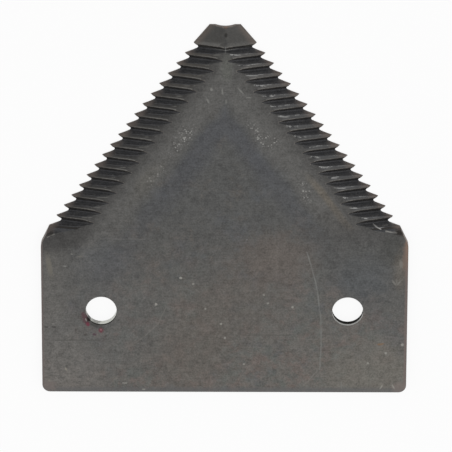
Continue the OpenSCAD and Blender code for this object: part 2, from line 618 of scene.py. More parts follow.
# %% Curved scratch: an arc of a circle between two heights on the plate
arc, given, result = start_group(
    "curved_scratch",
    [
        ("Point", VECTOR),
        ("Centre", VECTOR),
        ("Radius", NUMBER),
        ("Width", NUMBER),
        ("Low", NUMBER),
        ("High", NUMBER),
    ],
    [("Mask", NUMBER)],
)
out_from_centre = vector_step(arc, "DISTANCE", given["Point"], given["Centre"], output="Value")
off_circle = calculate(arc, "SUBTRACT", out_from_centre, given["Radius"])
off_circle = calculate(arc, "ABSOLUTE", off_circle)
line = ramp(arc, off_circle, 0.0, given["Width"], 1.0, 0.0)
place = add_node(arc, "ShaderNodeSeparateXYZ")
feed(arc, given["Point"], place.inputs[0])
above = calculate(arc, "GREATER_THAN", place.outputs["Y"], given["Low"])
below = calculate(arc, "LESS_THAN", place.outputs["Y"], given["High"])
line = calculate(arc, "MULTIPLY", line, above)
line = calculate(arc, "MULTIPLY", line, below)
feed(arc, line, result["Mask"])
print("group", arc.name, len(arc.nodes), "nodes")

# %% [markdown]
# Bright specks.
# Bare metal glints in tiny dots where the dark skin has been rubbed through. Noise makes soft clouds,
# not dots, so the group uses Voronoi cells: each cell has one dot at its heart, a lot decides
# whether the dot is there, and a second lot gives its size.

# %% Specks: small bright dots scattered at random
specks, given, result = start_group(
    "bright_specks",
    [("Point", VECTOR), ("Spacing", NUMBER), ("Fill", NUMBER), ("Size", NUMBER)],
    [("Mask", NUMBER)],
)
per_cell = calculate(specks, "DIVIDE", 1.0, given["Spacing"])
cells = add_node(specks, "ShaderNodeTexVoronoi", voronoi_dimensions="3D", feature="F1")
feed(specks, given["Point"], cells.inputs["Vector"])
feed(specks, per_cell, cells.inputs["Scale"])
lots = add_node(specks, "ShaderNodeSeparateColor")
feed(specks, cells.outputs["Color"], lots.inputs[0])
chosen = calculate(specks, "LESS_THAN", lots.outputs[0], given["Fill"])
radius = calculate(specks, "MULTIPLY", lots.outputs[1], given["Size"])
dot = ramp(specks, cells.outputs["Distance"], 0.0, radius, 1.0, 0.0)
feed(specks, calculate(specks, "MULTIPLY", dot, chosen), result["Mask"])
print("group", specks.name, len(specks.nodes), "nodes")

# %% [markdown]
# Rolling streaks.
# The strip was rolled, and the rolls drew every flaw out along the base. A Wave texture would be far
# too even, so this group takes plain noise and stretches it along one direction.

# %% Rolling streaks: noise drawn out along the base
STREAK_DETAIL = 3.0

streaks, given, result = start_group(
    "rolling_streaks",
    [("Point", VECTOR), ("Length", NUMBER), ("Thickness", NUMBER)],
    [("Value", NUMBER)],
)
per_length = calculate(streaks, "DIVIDE", 1.0, given["Length"])
per_thickness = calculate(streaks, "DIVIDE", 1.0, given["Thickness"])
stretch = add_node(streaks, "ShaderNodeCombineXYZ")
feed(streaks, per_length, stretch.inputs["X"])
feed(streaks, per_thickness, stretch.inputs["Y"])
feed(streaks, per_thickness, stretch.inputs["Z"])
drawn_out = vector_step(streaks, "MULTIPLY", given["Point"], stretch.outputs["Vector"])
streak_noise = add_node(streaks, "ShaderNodeTexNoise")
feed(streaks, drawn_out, streak_noise.inputs["Vector"])
streak_noise.inputs["Scale"].default_value = 1.0
streak_noise.inputs["Detail"].default_value = STREAK_DETAIL
feed(streaks, streak_noise.outputs[0], result["Value"])
print("group", streaks.name, len(streaks.nodes), "nodes")

# %% [markdown]
# The steel.
# The blade is carbon steel with a thin film of oil. It is dark and only half shiny, greyer towards the
# base, and a paler band with a blue border runs inside the teeth, where the edge was hardened by heat.
# An image could be wrapped round it, but noise and a few measured marks give the same look and stay
# sharp at any distance. The colour is built up in coats, from the broad tones to the last scratch.

# %% Start the steel with a millimetre grid
steel = bpy.data.materials.new("oiled_steel")
steel.use_nodes = True
tree = steel.node_tree
tree.nodes.clear()
object_place = add_node(tree, "ShaderNodeTexCoord").outputs["Object"]
millimetres = add_node(tree, "ShaderNodeMapping")
millimetres.inputs["Scale"].default_value = (1.0 / MM, 1.0 / MM, 1.0 / MM)
feed(tree, object_place, millimetres.inputs["Vector"])
point = millimetres.outputs["Vector"]
point_parts = add_node(tree, "ShaderNodeSeparateXYZ")
feed(tree, point, point_parts.inputs[0])
point_x = point_parts.outputs["X"]
point_y = point_parts.outputs["Y"]
point_z = point_parts.outputs["Z"]


def report(step):
    """Says how far the material has grown."""
    print(step, "done,", len(tree.nodes), "nodes so far")


report("millimetre grid")

# %% Helpers for noise
NOISE_MIDDLE = 0.5


def noise(size, detail=2.0, roughness=0.5, shift=(0.0, 0.0, 0.0)):
    """Noise from 0 to 1 whose blotches are about this many millimetres wide."""
    moved = vector_step(tree, "ADD", point, shift)
    node = add_node(tree, "ShaderNodeTexNoise")
    feed(tree, moved, node.inputs["Vector"])
    node.inputs["Scale"].default_value = 1.0 / size
    node.inputs["Detail"].default_value = detail
    node.inputs["Roughness"].default_value = roughness
    return node.outputs[0]


def around_zero(value, amount):
    """Turns a value from 0 to 1 into one that swings round zero, this far from end to end."""
    centred = calculate(tree, "SUBTRACT", value, NOISE_MIDDLE)
    return calculate(tree, "MULTIPLY", centred, amount)


report("noise helpers")

# %% Helpers for masks and coats
def both(first, second):
    """The part that two masks share."""
    return calculate(tree, "MULTIPLY", first, second)


def window(value, rise, fall):
    """A mask that comes in over the first pair of values and goes out over the second pair."""
    return both(ramp(tree, value, *rise), ramp(tree, value, *fall))


def coat(colour, mask, over, strength=1.0):
    """Lays a colour over another one where the mask is."""
    if strength != 1.0:
        mask = both(mask, strength)
    return blend_colour(tree, mask, colour, over)


def mark_mask(name):
    """The mask of one tool mark, read from the faces."""
    return add_node(tree, "ShaderNodeAttribute", attribute_name=name).outputs["Fac"]


report("mask helpers")

# %% [markdown]
# A grid that is not quite straight.
# Marks made by hand are never quite straight or quite oval. Each one could be drawn with its own
# wobble, but one bend of the flat grid that places them all is enough: noise pushes the grid by a
# fifth of a millimetre at most. A few more noises are made here once, because later steps share them.

# %% Bend the flat grid
BEND_SIZE = 4.0
BEND_AMOUNT = 0.4
FLATTEN = (1.0, 1.0, 0.0)

bend = around_zero(noise(BEND_SIZE), BEND_AMOUNT)
bent_by = add_node(tree, "ShaderNodeCombineXYZ")
feed(tree, bend, bent_by.inputs["X"])
feed(tree, bend, bent_by.inputs["Y"])
flat_point = vector_step(tree, "MULTIPLY", point, FLATTEN)
flat_point = vector_step(tree, "ADD", flat_point, bent_by.outputs["Vector"])
report("bent grid")

# %% Make the noises that several steps share
BLOTCH_SIZE = 6.0
RAGGED_SIZE = 2.6
RAGGED_SWING = 2.2
FINE_RAGGED_SIZE = 0.45
FINE_RAGGED_SWING = 1.8
RUB_SIZE = 0.5
RUB_COVER = (0.42, 0.72)

blotches = noise(BLOTCH_SIZE, detail=4.0)
ragged = around_zero(noise(RAGGED_SIZE, detail=6.0, roughness=0.72), RAGGED_SWING)
fine_ragged = around_zero(noise(FINE_RAGGED_SIZE, detail=3.0, roughness=0.6), FINE_RAGGED_SWING)
rub = ramp(tree, noise(RUB_SIZE, detail=3.0, roughness=0.6), *RUB_COVER)
report("shared noises")

# %% A helper that places a soft stain on the bent grid
def place_stain(label, centre, size, turn=0.0, soft=0.5, uneven=0.0):
    """A soft oval at this place, with its two half lengths, turned anticlockwise by radians."""
    first_axis = (math.cos(turn) / size[0], math.sin(turn) / size[0], 0.0)
    second_axis = (-math.sin(turn) / size[1], math.cos(turn) / size[1], 0.0)
    return place_group(
        tree, stain, "Mask", label,
        point=flat_point, centre=(*centre, 0.0), first_axis=first_axis, second_axis=second_axis,
        soft=soft, ragged=uneven,
    )


report("stain helper")

# %% [markdown]
# Broad tones.
# From a step away the plate is dark in the middle and paler towards the base, with cool and warm
# clouds in it, and reddish and greenish ones near the base. One noise with a colour ramp would tie
# these tints together, so each tint is a coat of its own, with its own blotch size.

# %% Broad tones, from the dark middle to the pale base
MIDDLE_TONE = screen_colour(83, 83, 82)
BASE_TONE = screen_colour(102, 99, 95)
MIDDLE_HEIGHT = 27.0
BASE_HEIGHT = -16.0
TONE_WANDER = 12.0

height = calculate(tree, "ADD", point_y, around_zero(blotches, TONE_WANDER))
toward_base = ramp(tree, height, MIDDLE_HEIGHT, BASE_HEIGHT)
colour = blend_colour(tree, toward_base, MIDDLE_TONE, BASE_TONE)
report("broad tones")

# %% Clouds of other tints
CLOUD_ROUGHNESS = 0.7
# Each cloud: name, blotch size, detail, shift of the noise, start and full cover, tint, strength
WIDE_CLOUDS = (
    ("cool", 5.0, 5.0, (40.0, 0.0, 0.0), (0.5, 0.68), (83, 85, 88), 0.5),
    ("warm", 4.0, 5.0, (0.0, 70.0, 0.0), (0.52, 0.7), (100, 93, 87), 0.45),
)
BASE_CLOUDS = (
    ("red", 3.4, 4.0, (0.0, 0.0, 30.0), (0.46, 0.64), (107, 95, 90), 0.55),
    ("green", 3.0, 4.0, (25.0, 15.0, 0.0), (0.46, 0.64), (90, 95, 92), 0.5),
)

for name, size, detail, shift, cover, tint, strength in WIDE_CLOUDS:
    cloud = ramp(tree, noise(size, detail, CLOUD_ROUGHNESS, shift), *cover)
    colour = coat(colour, cloud, screen_colour(*tint), strength)
    report(name + " clouds")
for name, size, detail, shift, cover, tint, strength in BASE_CLOUDS:
    cloud = ramp(tree, noise(size, detail, CLOUD_ROUGHNESS, shift), *cover)
    colour = coat(colour, both(cloud, toward_base), screen_colour(*tint), strength)
    report(name + " clouds")

# %% [markdown]
# The underside.
# The lower face of such a blade is plain rolled steel that has only rusted a little. It could have a
# material of its own, but it shares the broad tones, so they are kept here with a coat of brown
# clouds and come back on the underside in a later step.

# %% Keep the broad tones for the underside
UNDER_RUST = screen_colour(96, 84, 75)
UNDER_RUST_SIZE = 9.0
UNDER_RUST_SHIFT = (0.0, 50.0, 50.0)
UNDER_RUST_COVER = (0.5, 0.66)

under_rust = noise(UNDER_RUST_SIZE, detail=5.0, roughness=0.65, shift=UNDER_RUST_SHIFT)
under_rust = ramp(tree, under_rust, *UNDER_RUST_COVER)
under_colour = coat(colour, under_rust, UNDER_RUST, strength=0.5)
report("underside tones")

# %% [markdown]
# The hardened band.
# Only the edge of a sickle section is heated and quenched, and the heat leaves a paler band inside the
# teeth with a bluish border. It could be painted by hand as a texture. Here a straight line along the
# inner ends of the grooves gives the distance to the edge, and blotchy noise makes the band wander.

# %% Measure the distance from the inner ends of the grooves
EDGE_SLOPE_X = 0.8102
EDGE_SLOPE_Y = 0.5861
GROOVE_END_LINE = 33.742
BAND_WANDER = 3.0

outward = both(calculate(tree, "ABSOLUTE", point_x), EDGE_SLOPE_X)
upward = both(point_y, EDGE_SLOPE_Y)
straight_inset = calculate(tree, "SUBTRACT", GROOVE_END_LINE, calculate(tree, "ADD", outward, upward))
inset = calculate(tree, "ADD", straight_inset, around_zero(blotches, BAND_WANDER))
report("inset")

# %% The pale band and its blue border
BAND_TONE = screen_colour(92, 91, 89)
BAND_FADE = (7.6, 4.2)
BORDER_TONE = screen_colour(78, 79, 82)
BORDER_RISE = (5.8, 7.8)
BORDER_FALL = (12.5, 9.0)
BORDER_HEIGHTS = (14.0, 36.0)
BORDER_LOW_SHARE = 0.4

hardened = ramp(tree, inset, *BAND_FADE)
colour = coat(colour, hardened, BAND_TONE, strength=0.9)
border = window(inset, BORDER_RISE, BORDER_FALL)
border = both(border, ramp(tree, point_y, *BORDER_HEIGHTS, BORDER_LOW_SHARE, 1.0))
colour = coat(colour, border, BORDER_TONE, strength=0.75)
report("hardened band")

# %% Tell the left half of the plate from the right half
MIDDLE_FADE = 1.0
right_side = ramp(tree, point_x, -MIDDLE_FADE, MIDDLE_FADE)


def by_side(left, right):
    """One amount on the left half of the plate and another on the right half."""
    return ramp(tree, right_side, 0.0, 1.0, left, right)


def colour_by_side(left, right):
    """One colour on the left half of the plate and another on the right half."""
    return blend_colour(tree, right_side, left, right)


report("halves")

# %% Painted shade beside the teeth
TEETH_SHADE_TONE = screen_colour(62, 61, 60)
TEETH_SHADE_FADE = (3.0, -2.0)
TEETH_SHADE_HEIGHTS = (13.0, 20.0)
TEETH_SHADE_LOW_SHARE = 0.3

# Painted shade: the face beside the teeth is darkened, more on the left half than on the right.
shade_beside_teeth = ramp(tree, straight_inset, *TEETH_SHADE_FADE)
shade_beside_teeth = both(shade_beside_teeth, ramp(tree, point_y, *TEETH_SHADE_HEIGHTS, TEETH_SHADE_LOW_SHARE, 1.0))
shade_beside_teeth = both(shade_beside_teeth, by_side(left=0.9, right=0.75))
colour = coat(colour, shade_beside_teeth, TEETH_SHADE_TONE)
report("shade beside the teeth")

# %% [markdown]
# The temper line.
# Low on the right the heat has left a thin straw-coloured line along the band, the first colour that
# steel takes when it is warmed. It follows the teeth, so it is cut from the same distance as the
# band, between two heights, with a little wander of its own.

# %% A straw-coloured line low on the right
TEMPER_TONE = screen_colour(107, 100, 90)
TEMPER_WANDER = 1.0
TEMPER_RISE = (0.8, 1.7)
TEMPER_FALL = (3.2, 2.1)
TEMPER_LOW_END = (16.5, 19.5)
TEMPER_HIGH_END = (32.5, 27.5)

temper_inset = calculate(tree, "ADD", straight_inset, around_zero(blotches, TEMPER_WANDER))
temper_line = window(temper_inset, TEMPER_RISE, TEMPER_FALL)
temper_line = both(temper_line, window(point_y, TEMPER_LOW_END, TEMPER_HIGH_END))
colour = coat(colour, both(temper_line, right_side), TEMPER_TONE, strength=0.62)
report("temper line")

# %% [markdown]
# Large stains.
# Some twenty patches are easy to make out on the plate: bluish ones, warm ones, shadows under the
# shoulders and pale corners. Noise could never put them in the right place, so each is an oval that
# was measured on the plate, and shared noise frays its border.

# %% Large stains, placed one by one
STAIN_SOFT = 0.55
# Each stain: name, centre, half lengths, turn, tint, strength
STAINS = (
    ("blue_left", (-24.4, 11.0), (5.5, 4.6), 0.0, (84, 86, 89), 0.5),
    ("grey_right", (29.5, 9.0), (10.0, 7.0), 0.0, (84, 84, 83), 0.7),
    ("blue_right", (28.3, 7.5), (4.8, 4.6), 0.0, (82, 85, 88), 0.5),
    ("shadow_under_right_shoulder", (25.0, 17.0), (11.0, 2.0), 0.0, (78, 77, 76), 0.7),
    ("shade_low_right_band", (24.0, 19.6), (5.0, 2.4), -0.6, (79, 77, 75), 0.5),
    ("shadow_right_corner", (34.6, 14.0), (2.8, 3.2), 0.0, (72, 72, 70), 0.8),
    ("shadow_left_corner", (-35.6, 15.2), (2.2, 2.4), 0.0, (64, 63, 62), 0.8),
    ("warm_right_of_middle", (10.5, 11.5), (7.6, 6.0), 0.0, (99, 92, 87), 0.7),
    ("warm_middle", (1.5, 1.0), (8.0, 7.0), 0.0, (98, 93, 88), 0.5),
    ("warm_low_middle", (-7.0, -9.5), (9.0, 8.0), 0.5, (96, 91, 86), 0.65),
    ("pale_left_corner", (-32.0, -13.5), (8.0, 6.5), 0.0, (112, 108, 104), 0.8),
    ("pale_right_corner", (31.0, -14.5), (9.0, 6.5), 0.0, (107, 104, 98), 0.8),
    ("pale_left_side", (-35.8, 5.0), (2.6, 9.0), 0.0, (100, 98, 95), 0.7),
    ("brown_right_side", (36.2, 9.6), (1.5, 4.2), 0.0, (103, 97, 89), 0.5),
    ("pale_below_head", (0.3, 54.3), (1.3, 2.4), 0.0, (98, 99, 94), 0.6),
    ("yellow_left_edge", (-16.0, 29.5), (1.6, 5.0), -0.63, (96, 93, 86), 0.3),
    ("shadow_under_left_shoulder", (-32.5, 16.2), (4.6, 2.0), 0.2, (70, 69, 68), 0.7),
    ("cool_left", (-24.0, -3.5), (11.0, 12.0), 0.0, (93, 93, 92), 0.45),
    ("pale_left_low", (-34.0, -7.0), (4.0, 9.0), 0.0, (104, 102, 99), 0.7),
    ("grey_under_right_shoulder", (25.5, 13.5), (7.0, 5.0), 0.0, (80, 80, 79), 0.4),
)

for name, centre, size, turn, tint, strength in STAINS:
    mask = place_stain(name, centre, size, turn, STAIN_SOFT, ragged)
    colour = coat(colour, mask, screen_colour(*tint), strength)
print("stains", len(STAINS))

# %% [markdown]
# The ground strips.
# Between two grooves a narrow strip of the ground slope is left. On the left it faces away from the
# lamp and darkens towards the tip; on the right it faces the lamp and gets lighter. The light gives
# part of that, and the rest is painted: each half has its own pair of tones, painted shade on the
# left and painted light on the right, blended by the ruler across the tooth.

# %% Tones of the ground strips
HEAD_FADE = 0.4
TOWARD_TEETH = (0.6, -3.0)
UP_THE_STRIP = (0.1, 0.95)
LEFT_STRIP_SHADED = (screen_colour(70, 69, 67), screen_colour(53, 52, 52))
RIGHT_STRIP_LIT = (screen_colour(71, 71, 71), screen_colour(81, 81, 81))
TOP_TEETH = (46.0, 53.0)
LEFT_TOP_TONE = screen_colour(82, 79, 75)
RIGHT_TOP_TONE = screen_colour(90, 87, 84)
HEAD_TONE = screen_colour(76, 75, 73)

across = mark_mask("across_tooth")
head = ramp(tree, point_y, HEAD_START, HEAD_START + HEAD_FADE)
strip_mask = mark_mask("ground_strip")
flank_mask = mark_mask("groove_flank")
toward_teeth = ramp(tree, straight_inset, *TOWARD_TEETH)
up_the_strip = ramp(tree, across, *UP_THE_STRIP, smooth=False)
# Painted light: the left strips get painted shade and the right strips painted light, one pair of tones
# for each half.
left_strip_shaded = blend_colour(tree, up_the_strip, *LEFT_STRIP_SHADED)
right_strip_lit = blend_colour(tree, up_the_strip, *RIGHT_STRIP_LIT)
top_teeth = ramp(tree, point_y, *TOP_TEETH)
left_strip_shaded = coat(left_strip_shaded, top_teeth, LEFT_TOP_TONE, strength=0.7)
right_strip_lit = coat(right_strip_lit, top_teeth, RIGHT_TOP_TONE, strength=0.5)
strip_colour = colour_by_side(left_strip_shaded, right_strip_lit)
strip_colour = blend_colour(tree, toward_teeth, colour, strip_colour)
strip_colour = coat(strip_colour, head, HEAD_TONE)
report("ground strips")

# %% Painted highlights along the crests, and dark ends on the strips
CREST_HIGHLIGHT_TONE = screen_colour(120, 119, 116)
CREST_WIDTH = (0.24, 0.06)
HEAD_CREST_SHARE = 0.6
LAST_GROOVE = 19.9
LAST_GROOVE_FADE = 0.05
SHOULDER_TONE = screen_colour(50, 48, 46)
INNER_STRIP_TONE = screen_colour(52, 52, 53)
INNER_STRIP_RISE = (-2.4, -1.6)
INNER_STRIP_FALL = (-0.4, -1.2)
INNER_STRIP_ACROSS = (0.35, 0.6)

# Painted highlight: a light line along the crests of the strips, stronger on the left and fainter on the
# head.
crest_highlight = ramp(tree, across, *CREST_WIDTH)
crest_highlight = both(crest_highlight, by_side(left=0.85, right=0.4))
crest_highlight = both(crest_highlight, ramp(tree, head, 0.0, 1.0, 1.0, HEAD_CREST_SHARE))
strip_colour = coat(strip_colour, crest_highlight, CREST_HIGHLIGHT_TONE)
below_last_groove = ramp(tree, point_y, LAST_GROOVE + LAST_GROOVE_FADE, LAST_GROOVE - LAST_GROOVE_FADE)
strip_colour = coat(strip_colour, below_last_groove, SHOULDER_TONE)
inner_strip = window(straight_inset, INNER_STRIP_RISE, INNER_STRIP_FALL)
inner_strip = both(inner_strip, both(right_side, ramp(tree, across, *INNER_STRIP_ACROSS)))
strip_colour = coat(strip_colour, inner_strip, INNER_STRIP_TONE, strength=0.85)
colour = coat(colour, strip_mask, strip_colour)
report("crests")

# %% [markdown]
# The grooves.
# A groove has a long flank that looks to the tip, a short wall that looks to the base and a rounded
# root. They are the darkest places on the blade, partly because neither the wheel nor a hand has
# polished them and partly through painted shade: shadow alone leaves them too light, so each gets a
# darker coat, rubbed pale in a few spots. The flanks on the left half get more painted shade than
# those on the right.

# %% Flanks, roots and walls of the grooves
LOW_FLANK = (screen_colour(51, 50, 51), screen_colour(66, 65, 66))
HIGH_FLANK = screen_colour(78, 79, 82)
UP_THE_FLANK = (0.1, 0.9)
FLANK_RUB = screen_colour(100, 99, 98)
GROOVE_END = (-2.4, 0.4)
GROOVE_END_TONE = screen_colour(88, 87, 85)
ROOT_TONE = screen_colour(62, 62, 64)
WALL_TONE = screen_colour(66, 65, 65)
WALL_RUB = screen_colour(88, 85, 82)

# Painted shade: the low part of each flank is darker on the left half than on the right.
low_flank = colour_by_side(*LOW_FLANK)
up_the_flank = ramp(tree, across, *UP_THE_FLANK)
flank_colour = blend_colour(tree, up_the_flank, low_flank, HIGH_FLANK)
flank_colour = coat(flank_colour, rub, FLANK_RUB, strength=0.4)
groove_end = ramp(tree, straight_inset, *GROOVE_END)
flank_colour = coat(flank_colour, groove_end, GROOVE_END_TONE, strength=0.6)
colour = coat(colour, flank_mask, flank_colour)
colour = coat(colour, mark_mask("groove_root"), ROOT_TONE)
wall_colour = blend_colour(tree, rub, WALL_TONE, WALL_RUB)
colour = coat(colour, mark_mask("groove_wall"), wall_colour)
report("grooves")

# %% [markdown]
# Tooth tips and sheared sides.
# The thin tips of the teeth and the sheared sides have begun to rust, because the oil wears off there
# first. The tips are found by their distance from the band, so the brown fades in along each tooth,
# and the sides by their tool mark.

# %% Brown tooth tips and sheared sides
TIP_TONE = screen_colour(105, 96, 90)
TIP_FADE = (-4.6, -6.2)
RUST_DARK = screen_colour(88, 78, 71)
RUST_PALE = screen_colour(112, 100, 92)

tooth_faces = calculate(tree, "MAXIMUM", strip_mask, flank_mask)
near_tips = both(ramp(tree, straight_inset, *TIP_FADE), tooth_faces)
colour = coat(colour, near_tips, TIP_TONE, strength=0.75)
rust = blend_colour(tree, rub, RUST_DARK, RUST_PALE)
colour = coat(colour, mark_mask("sheared_side"), rust)
report("tips and sides")

# %% [markdown]
# Above and below.
# Every stain so far goes straight through the plate, because the grid is flat. A height test puts the
# plain colour that was kept earlier back on the underside; the sides and the upper face stay.

# %% Keep the marks of the upper side off the underside
UNDERSIDE_HEIGHT = 0.01

upper = calculate(tree, "GREATER_THAN", point_z, UNDERSIDE_HEIGHT)
colour = blend_colour(tree, upper, under_colour, colour)
report("above and below")

# %% [markdown]
# Grain.
# Up close the rolled face has a fine grain with faint streaks along the base. A bump alone hardly shows
# on such dark steel, so the grain also changes the lightness of the colour, by less on the teeth,
# which were ground after rolling.

# %% Grain of the rolled face
FINE_SIZE = 0.35
FINE_CONTRAST = 1.15
MEDIUM_SIZE = 1.3
MEDIUM_CONTRAST = 0.95
STREAK_CONTRAST = 0.4
TOOTH_GRAIN_SHARE = 0.6

fine = noise(FINE_SIZE, detail=2.0, roughness=0.7)
medium = noise(MEDIUM_SIZE, detail=3.0, roughness=0.6)
long_streaks = place_group(tree, streaks, "Value", "grain", point=point, length=5.0, thickness=0.35)
lightness = calculate(tree, "ADD", around_zero(fine, FINE_CONTRAST), around_zero(medium, MEDIUM_CONTRAST))
lightness = calculate(tree, "ADD", lightness, around_zero(long_streaks, STREAK_CONTRAST))
lightness = both(lightness, ramp(tree, tooth_faces, 0.0, 1.0, 1.0, TOOTH_GRAIN_SHARE))
lightness = calculate(tree, "ADD", lightness, 1.0)
shade = add_node(tree, "ShaderNodeHueSaturation")
feed(tree, lightness, shade.inputs["Value"])
feed(tree, colour, shade.inputs["Color"])
colour = shade.outputs["Color"]
report("grain")

# %% [markdown]
# Sparks of bare metal.
# On both sides the hardened band has small fields where the skin is rubbed through and bare metal
# glints. The specks group gives the dots and a ragged stain keeps them inside each field. A few grey
# dots of dust lie all over the plate.

# %% Sparks in five fields, and dust
SPARK_TONE = screen_colour(172, 171, 167)
SPARK_SOFT = 0.5
DUST_TONE = grey(135)
# Each field: name, centre, half lengths, turn, strength
SPARK_FIELDS = (
    ("left", (-8.4, 38.8), (1.5, 3.2), -0.63, 0.8),
    ("left_low", (-14.3, 30.4), (1.0, 3.2), -0.63, 0.45),
    ("right_top", (5.9, 41.1), (0.9, 1.6), 0.6, 0.8),
    ("right", (8.5, 38.5), (1.9, 1.4), -0.3, 0.95),
    ("right_low", (16.3, 27.2), (0.9, 2.6), 0.3, 0.85),
)

sparks = place_group(tree, specks, "Mask", "sparks", point=point, spacing=0.36, fill=0.6, size=0.85)
for name, centre, size, turn, strength in SPARK_FIELDS:
    mask = place_stain(name, centre, size, turn, SPARK_SOFT, ragged)
    mask = both(both(mask, sparks), upper)
    colour = coat(colour, mask, SPARK_TONE, strength)
dust = place_group(tree, specks, "Mask", "dust", point=point, spacing=1.5, fill=0.12, size=0.16)
colour = coat(colour, dust, DUST_TONE, strength=0.6)
print("spark fields", len(SPARK_FIELDS))

# %% [markdown]
# Glints and burrs on the teeth.
# The wheel left a thin burr where each strip breaks into the groove above it, and the lamp picks it
# out in short bright dashes on the right. The dashes are painted highlights of stretched noise, kept to
# the top of each strip. Near the inner end the burr runs level, so there its painted glint is drawn as
# one line that repeats with the pitch of the teeth, dimmer on the left half than on the right.

# %% Painted highlights: bright dashes at the top of the right-hand strips
DASH_HIGHLIGHT_TONE = screen_colour(190, 190, 187)
DASH_COVER = (0.46, 0.56)
DASH_BREAKS = (0.34, 0.52)
STRIP_TOP = (0.82, 0.93)

highlight_dashes = place_group(tree, streaks, "Value", "highlight_dashes", point=point, length=2.6, thickness=0.4)
highlight_dashes = both(ramp(tree, highlight_dashes, *DASH_COVER), ramp(tree, medium, *DASH_BREAKS))
not_head = calculate(tree, "SUBTRACT", 1.0, head)
right_teeth = both(right_side, not_head)
strip_top = both(both(strip_mask, ramp(tree, across, *STRIP_TOP)), right_teeth)
colour = coat(colour, both(strip_top, highlight_dashes), DASH_HIGHLIGHT_TONE, strength=0.85)
report("highlight_dashes")

# %% Painted glints on the burrs near the inner ends of the grooves
TOOTH_PITCH = 2.267
BURR_START = 59.87
BURR_SLOPE = 0.1
BURR_WIDTH = (0.06, 0.018)
BURR_RISE = (-2.8, -2.2)
BURR_FALL = (-0.5, -1.1)
BURR_LOW_FADE = 0.4
BURR_BREAKS = (0.44, 0.6)
BURR_GLINT_TONES = (screen_colour(128, 127, 123), screen_colour(195, 195, 192))

burr_place = calculate(tree, "SUBTRACT", point_y, both(straight_inset, BURR_SLOPE))
from_first_burr = calculate(tree, "SUBTRACT", burr_place, BURR_START)
burr_count = calculate(tree, "DIVIDE", from_first_burr, TOOTH_PITCH)
# Folded at one half, the count becomes the distance to the nearest burr.
off_burr = calculate(tree, "PINGPONG", burr_count, 0.5)
burr_glint = ramp(tree, off_burr, *BURR_WIDTH)
burr_glint = both(burr_glint, window(straight_inset, BURR_RISE, BURR_FALL))
above_last_groove = ramp(tree, point_y, LAST_GROOVE, LAST_GROOVE + BURR_LOW_FADE)
burr_glint = both(burr_glint, both(not_head, above_last_groove))
burr_glint = both(burr_glint, both(upper, ramp(tree, medium, *BURR_BREAKS)))
colour = coat(colour, burr_glint, colour_by_side(*BURR_GLINT_TONES), strength=0.5)
report("burrs")

# %% [markdown]
# Scratches.
# One long scratch swings down the right half and ends in a small hook, and a fainter one crosses the
# left half. The shoulders have short bright burrs whose brightness is partly painted highlight, and
# the ridge of the head gets a painted highlight drawn as two thin lines. A scratch is never equally
# strong all along, so shared noise breaks every one of them.

# %% The long curved scratch
LONG_SCRATCH_RADIUS = 68.4
LONG_SCRATCH_CENTRE = (-48.4, -7.0, 0.0)
LONG_SCRATCH_WIDTH = 0.24
LONG_SCRATCH_ENDS = (-13.4, 13.6)
LONG_SCRATCH_TONE = screen_colour(124, 125, 122)
BREAK_SIZE = 1.6
BREAK_COVER = (0.25, 0.6)
FAINT_SHARE = 0.35

broken = noise(BREAK_SIZE, detail=4.0, roughness=0.6)
broken = both(ramp(tree, broken, *BREAK_COVER, FAINT_SHARE, 1.0), upper)
long_scratch = place_group(
    tree, arc, "Mask", "long_scratch",
    point=flat_point, centre=LONG_SCRATCH_CENTRE, radius=LONG_SCRATCH_RADIUS,
    width=LONG_SCRATCH_WIDTH, low=LONG_SCRATCH_ENDS[0], high=LONG_SCRATCH_ENDS[1],
)
colour = coat(colour, both(long_scratch, broken), LONG_SCRATCH_TONE, strength=0.65)
report("long scratch")

# %% Straight scratches, with painted highlights on the shoulder burrs and the head's ridge
# Each scratch: name, start, end, width, tint, strength
SCRATCHES = (
    ("long_scratch_hook", (19.5, -13.2), (17.4, -16.0), 0.26, (122, 119, 114), 0.5),
    ("long_scratch_end", (17.4, -16.0), (16.4, -17.0), 0.26, (122, 119, 114), 0.5),
    ("left_scratch_top", (-12.0, 1.0), (-13.7, -2.9), 0.2, (118, 115, 110), 0.5),
    ("left_scratch_middle", (-13.7, -2.9), (-16.2, -5.5), 0.2, (118, 115, 110), 0.5),
    ("left_scratch_low", (-16.2, -5.5), (-19.9, -8.5), 0.2, (118, 115, 110), 0.4),
    ("upper_left_scratch", (-25.5, 16.4), (-15.5, 16.4), 0.2, (116, 115, 112), 0.4),
    # A real burr at the left shoulder, with a painted highlight on it.
    ("left_shoulder_burr_glint", (-34.9, 17.5), (-36.3, 16.8), 0.17, (150, 148, 142), 0.85),
    # The next two lines are painted highlights along the head's ridge.
    ("head_crest_highlight_left", (-5.6, 58.9), (-0.3, 58.3), 0.2, (118, 117, 112), 0.7),
    ("head_crest_highlight_right", (5.6, 58.9), (0.3, 58.3), 0.2, (118, 117, 112), 0.7),
    # Real burrs at the right shoulder, with painted highlights on them.
    ("right_shoulder_burr_glint", (30.4, 19.5), (32.0, 18.6), 0.17, (185, 184, 180), 0.9),
    ("right_shoulder_low_burr_glint", (33.0, 18.2), (35.3, 17.8), 0.19, (170, 168, 163), 0.85),
    ("right_shoulder_tick", (32.2, 19.2), (33.4, 19.2), 0.15, (120, 118, 114), 0.7),
    ("right_shoulder_outer_tick", (34.2, 19.3), (35.3, 19.3), 0.15, (130, 128, 124), 0.7),
    ("dark_line_left", (-34.8, -6.7), (-25.7, -6.7), 0.25, (78, 76, 73), 0.6),
    ("dark_line_right", (4.3, -5.4), (14.6, -5.4), 0.25, (78, 76, 73), 0.6),
)

